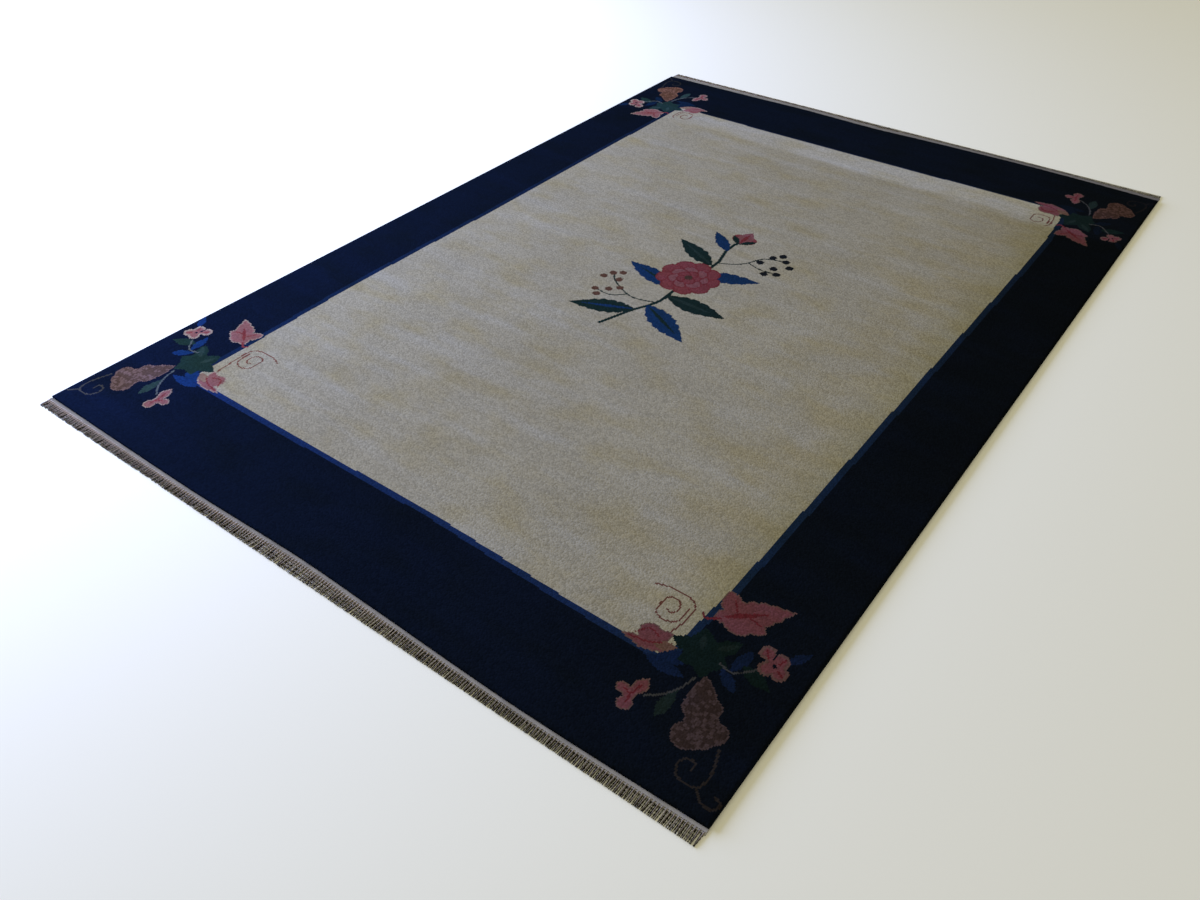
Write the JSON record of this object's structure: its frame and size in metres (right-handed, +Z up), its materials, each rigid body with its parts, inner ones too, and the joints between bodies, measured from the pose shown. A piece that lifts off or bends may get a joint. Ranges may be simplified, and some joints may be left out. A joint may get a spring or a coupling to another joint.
{
  "type": "oriental rug",
  "caption": "Flat rectangular hand-knotted pile rug with an open ivory field, a dark navy border and corner flower sprays, with a flat-woven band and a short cotton fringe along both ends.",
  "frame": {"origin": "on the floor under the rug's centre", "axes": "+Z up, +Y along the rug towards its far end, +X across the rug towards its right side"},
  "size_m": [2, 2.963, 0.01],
  "materials": {
    "wool_pile": "cut wool pile, ivory field with a navy border and dyed flower sprays",
    "cotton": "undyed twisted cotton, flat-woven at the band"
  },
  "bodies": {
    "root": {"knotted_rug": "wool_pile", "near_fringe": "cotton", "far_fringe": "cotton"}
  },
  "joints": []
}
